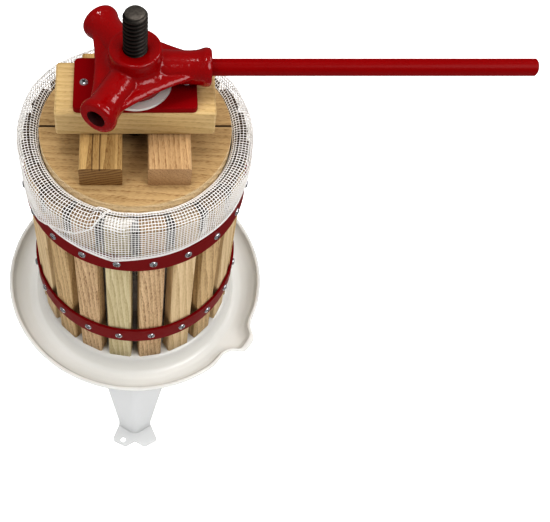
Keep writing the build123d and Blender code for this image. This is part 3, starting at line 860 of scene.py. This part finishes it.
plate_red = coated("plate red coat", (0.235, 0.001, 0.003), (0.20, 0.0008, 0.002),
                   drift=12.0, peel=600.0, gloss=(0.3, 0.42), depth=0.0002, Specular_IOR_Level=0.04)
dress(["pressure_plate"], plate_red)
plate_top, plate_screw_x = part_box("pressure_plate")[1].z, 0.0515
places = [Matrix.Translation((side * plate_screw_x, 0, plate_top)) @ Matrix.Rotation(0.4 + side, 4, "Z")
          for side in (-1, 1)]
screws = screw_set("plate_pan_screws", places, head_r, head_h, shank_r=0.0025, shank_l=0.026)
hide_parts("plate_screws")
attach(screws, "press_stack")
nylon = coated("pale nylon", (0.72, 0.70, 0.66), (0.62, 0.60, 0.56),
               drift=30.0, peel=300.0, gloss=(0.4, 0.55), depth=0.0003, Subsurface_Weight=0.1)
dress(["thrust_washer"], nylon)


# Press nut: one iron casting in glossy crimson enamel. Three flared sockets for the handle stand out
# of a dished hub, and a skirt with hollow sides runs from socket to socket.

crimson = coated("crimson enamel", (0.27, 0.0006, 0.0015), (0.225, 0.0004, 0.0010),
                 drift=26.0, peel=210.0, gloss=(0.10, 0.18), depth=0.0022, Specular_IOR_Level=0.42)
# The socket bores are painted near black, as painted shade inside them.
socket_bore_shade = coated("painted shade in the sockets", (0.055, 0.004, 0.005), (0.035, 0.003, 0.003),
                     drift=40.0, peel=500.0, gloss=(0.5, 0.7), depth=0.0004, Specular_IOR_Level=0.2)
nut_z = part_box("press_nut")[0].z
nut_seat = Matrix.Translation((0, 0, nut_z))
socket_z, socket_count = nut_z + 0.0195, 3


def socket_seat(k):
    """The place of one socket, its own Z pointing out along it."""
    turn = Matrix.Rotation(math.radians(120 * k), 4, "Z") @ Matrix.Rotation(math.pi / 2, 4, "Y")
    return Matrix.Translation((0, 0, socket_z)) @ turn


def solid_of(work, verts, faces):
    """Adds a closed solid to a mesh at work."""
    made = [work.verts.new(v) for v in verts]
    for f in faces:
        work.faces.new([made[i] for i in f])


def turned_solid(work, outline, matrix, turns=48):
    """Adds a closed solid of revolution about its own Z, from (radius, height) pairs, on its place."""
    rows, verts = len(outline), []
    for i in range(turns):
        a = 2 * math.pi * i / turns
        verts += [tuple(matrix @ Vector((r * math.cos(a), r * math.sin(a), z))) for r, z in outline]
    caps = [tuple(i * rows for i in reversed(range(turns))), tuple(i * rows + rows - 1 for i in range(turns))]
    solid_of(work, verts, lathe_faces(turns, rows, False) + caps)


def skirt_loop(up, reach, half, waist, steps=14):
    """A plan outline of the skirt, with one end per socket and a hollow curve between neighbours."""
    loop = []
    for k in range(socket_count):
        here, there, between = (math.radians(d) for d in (120 * k, 120 * k + 120, 120 * k + 60))
        first = Vector((reach * math.cos(here) - half * math.sin(here),
                        reach * math.sin(here) + half * math.cos(here)))
        last = Vector((reach * math.cos(there) + half * math.sin(there),
                       reach * math.sin(there) - half * math.cos(there)))
        hollow = Vector((waist * math.cos(between), waist * math.sin(between)))
        pull = hollow * 2 - (first + last) / 2
        for s in range(steps + 1):
            f = s / steps
            p = first * (1 - f) ** 2 + pull * 2 * f * (1 - f) + last * f * f
            loop.append((p.x, p.y, nut_z + up))
    return loop


def worked_mesh(name, work):
    """A mesh from work that is done, with its faces turned outward."""
    mesh = bpy.data.meshes.new(name)
    bmesh.ops.recalc_face_normals(work, faces=work.faces)
    work.to_mesh(mesh)
    work.free()
    return mesh


# height over the seat, reach along a socket, half width there, and the hollow's distance from the axis
skirt_rows = [(0.0190, 0.0660, 0.0122, 0.0384), (0.0203, 0.0670, 0.0130, 0.0395),
              (0.0214, 0.0672, 0.0133, 0.0403), (0.0225, 0.0670, 0.0130, 0.0395),
              (0.0236, 0.0666, 0.0124, 0.0385), (0.0247, 0.0662, 0.0114, 0.0372),
              (0.0255, 0.0655, 0.0098, 0.0352)]
# radius and height of the turned hub, and radius and distance out of the sockets
hub = [(0.0285, 0.0), (0.029, 0.0006), (0.029, 0.022), (0.0345, 0.022), (0.0340, 0.0258), (0.0300, 0.0276),
       (0.0275, 0.0300), (0.0263, 0.0330), (0.026, 0.0466), (0.0254, 0.0479), (0.0240, 0.0485)]
neck = [(0.0176, 0.012), (0.0174, 0.030), (0.0167, 0.045), (0.0165, 0.054), (0.0169, 0.059), (0.0176, 0.0632),
        (0.0184, 0.0655), (0.0192, 0.0675), (0.0194, 0.0705), (0.0188, 0.0733), (0.0172, 0.0750)]
hub_bore = [(0.01235, -0.02), (0.01235, 0.0462), (0.0135, 0.0470), (0.0230, 0.0484), (0.0230, 0.07)]
socket_bore = [(0.00858, 0.030), (0.00858, 0.0732), (0.0098, 0.0748), (0.0098, 0.086)]
work = bmesh.new()
loops = [skirt_loop(*row) for row in skirt_rows]
solid_of(work, [p for loop in loops for p in loop], stacked_faces(len(loops), len(loops[0])))
turned_solid(work, hub, nut_seat)
for k in range(socket_count):
    turned_solid(work, neck, socket_seat(k))
blank = shown("nut_blank", worked_mesh("nut_blank", work))
blank.data.materials.append(crimson)
cast = blank.modifiers.new("cast", "REMESH")
cast.mode, cast.voxel_size = "VOXEL", 0.0009
soft = blank.modifiers.new("soft", "SMOOTH")
soft.factor, soft.iterations = 0.5, 5
work = bmesh.new()
turned_solid(work, hub_bore, nut_seat)
hub_bore_faces = len(work.faces)
for k in range(socket_count):
    turned_solid(work, socket_bore, socket_seat(k), 32)
for k, face in enumerate(work.faces):
    face.material_index = 0 if k < hub_bore_faces else 1
bores = shown("nut_bores", worked_mesh("nut_bores", work))
for finish in (crimson, socket_bore_shade):
    bores.data.materials.append(finish)
cut = blank.modifiers.new("bores", "BOOLEAN")
cut.object, cut.operation, cut.solver, cut.material_mode = bores, "DIFFERENCE", "EXACT", "TRANSFER"
mesh = applied(blank)
bpy.data.objects.remove(bores)
mesh.polygons.foreach_set("use_smooth", [True] * len(mesh.polygons))
mesh.set_sharp_from_angle(angle=math.radians(50))
cast_nut = shown("cast_nut", mesh)
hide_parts("press_nut")
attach(cast_nut, "nut")


# Handle: a round steel bar in the same red enamel, a little duller from use. It is pushed into one
# of the nut's sockets and can be pulled out again.

bar_red = coated("bar enamel", (0.24, 0.0008, 0.0015), (0.205, 0.0006, 0.001),
                 drift=20.0, peel=380.0, gloss=(0.24, 0.34), depth=0.0003, Specular_IOR_Level=0.06)
dress(["handle_bar"], bar_red)


# Floor, light and camera: a plain pale floor. Three large soft lights stand at the right front, at the
# left front and overhead, two small lamps at the right and above give the highlights, and the camera
# looks down from high in front of the press.

floor_pale, tree, shader = finish_of("pale floor", Roughness=0.9, Specular_IOR_Level=0.1,
                                     Emission_Strength=0.85)
faint = mottle(tree, press_place(tree), 3.0, 2.0)
tint = blended(tree, faint, (0.93, 0.93, 0.93, 1), (0.91, 0.91, 0.91, 1))
for label in ("Base Color", "Emission Color"):
    tree.links.new(tint, shader.inputs[label])
floor = piece_from("floor", [(-6, -6, 0), (6, -6, 0), (6, 6, 0), (-6, 6, 0)], [(0, 1, 2, 3)], floor_pale)
floor.visible_glossy = False


def soft_light(name, at, toward, size, power, mirrored):
    """A square or oblong lamp; mirrored says whether glossy pieces reflect it."""
    lamp = bpy.data.lights.new(name, "AREA")
    lamp.shape, lamp.size, lamp.size_y, lamp.energy = "RECTANGLE", size[0], size[1], power
    made = shown(name, lamp)
    made.location = at
    made.rotation_euler = (Vector(toward) - Vector(at)).to_track_quat("-Z", "Y").to_euler()
    made.visible_glossy = mirrored


soft_light("key", (1.1, -0.9, 2.1), (0, 0, 0.35), (1.2, 1.2), 25, True)
soft_light("fill", (-1.3, -0.7, 2.0), (0, 0, 0.35), (1.2, 1.2), 20, False)
soft_light("top", (0.0, 0.4, 2.4), (0, 0, 0.35), (1.4, 1.0), 20, False)
soft_light("glint", (1.2, 0.4, 1.5), (0, 0, 0.55), (0.5, 0.5), 6, True)
soft_light("ceiling", (-0.12, 0.12, 2.2), (0, 0, 0.3), (0.24, 0.12), 2.5, True)
world = bpy.data.worlds.new("studio")
world.use_nodes = True
tree, backdrop = world.node_tree, world.node_tree.nodes["Background"]
backdrop.inputs[0].default_value = (1, 1, 1, 1)
seen = node(tree, "LightPath").outputs["Is Camera Ray"]
tree.links.new(spread(tree, seen, 0.0, 1.0, 0.14, 1.0), backdrop.inputs[1])
scene.world = world
scene.view_settings.view_transform = "Standard"
scene.view_settings.gamma = 0.86

# in pixels of the photo: its width, the lens's focal length, and the column that the lens points at
photo_width, focal_length, axis_column = 550, 979.37, 134.17
look_down = math.radians(59.257)
lens = bpy.data.cameras.new("camera")
lens.sensor_width = 36.0
lens.lens = focal_length / photo_width * lens.sensor_width
lens.shift_x = (photo_width / 2 - axis_column) / photo_width
camera = shown("camera", lens)
camera.location = (-0.0010, -0.6569, 1.2773)
camera.rotation_euler = (math.pi / 2 - look_down, 0, 0)
scene.camera = camera
